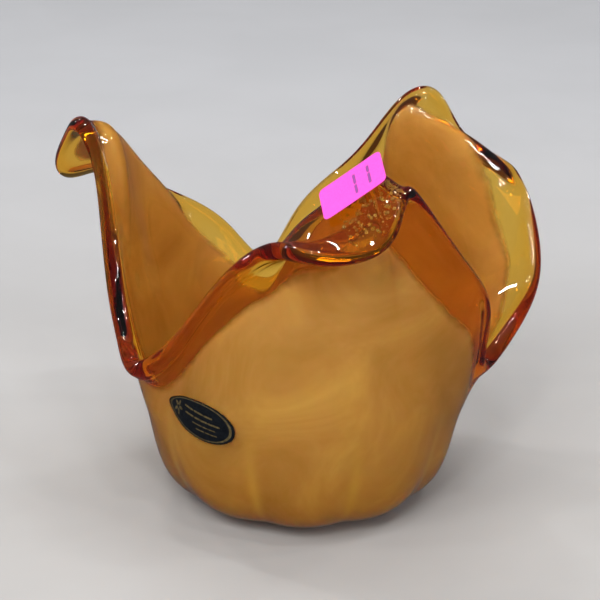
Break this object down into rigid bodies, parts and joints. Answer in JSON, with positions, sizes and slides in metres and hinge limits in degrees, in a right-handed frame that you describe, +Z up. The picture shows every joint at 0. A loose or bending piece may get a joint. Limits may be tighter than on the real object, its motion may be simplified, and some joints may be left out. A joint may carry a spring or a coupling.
{
  "type": "art glass bowl",
  "caption": "Free-form cased-glass bowl with tall outward-curling petals, a softly ribbed round body, an opal layer and a thick clear amber lip.",
  "frame": {"origin": "centre of the flat foot, on the table", "axes": "+Z up along the bowl's axis; the low front-left dip with the maker's label faces -Y and -X, the front petal faces -Y"},
  "size_m": [0.2285, 0.1699, 0.1836],
  "materials": {
    "amber_outer": "clear amber, fire polished, turning olive where thin and dark red-brown where thick",
    "opal": "milky honey-cream opal, softly mottled, hardly see-through",
    "amber_inner": "clear amber, glossy",
    "label_foil": null,
    "sticker_paper": "matt fluorescent pink with blank grey strokes"
  },
  "bodies": {
    "root": {"outer_casing": "amber_outer", "opal_layer": "opal", "inner_casing": "amber_inner", "maker_label": "label_foil", "lot_sticker": "sticker_paper"}
  },
  "joints": []
}
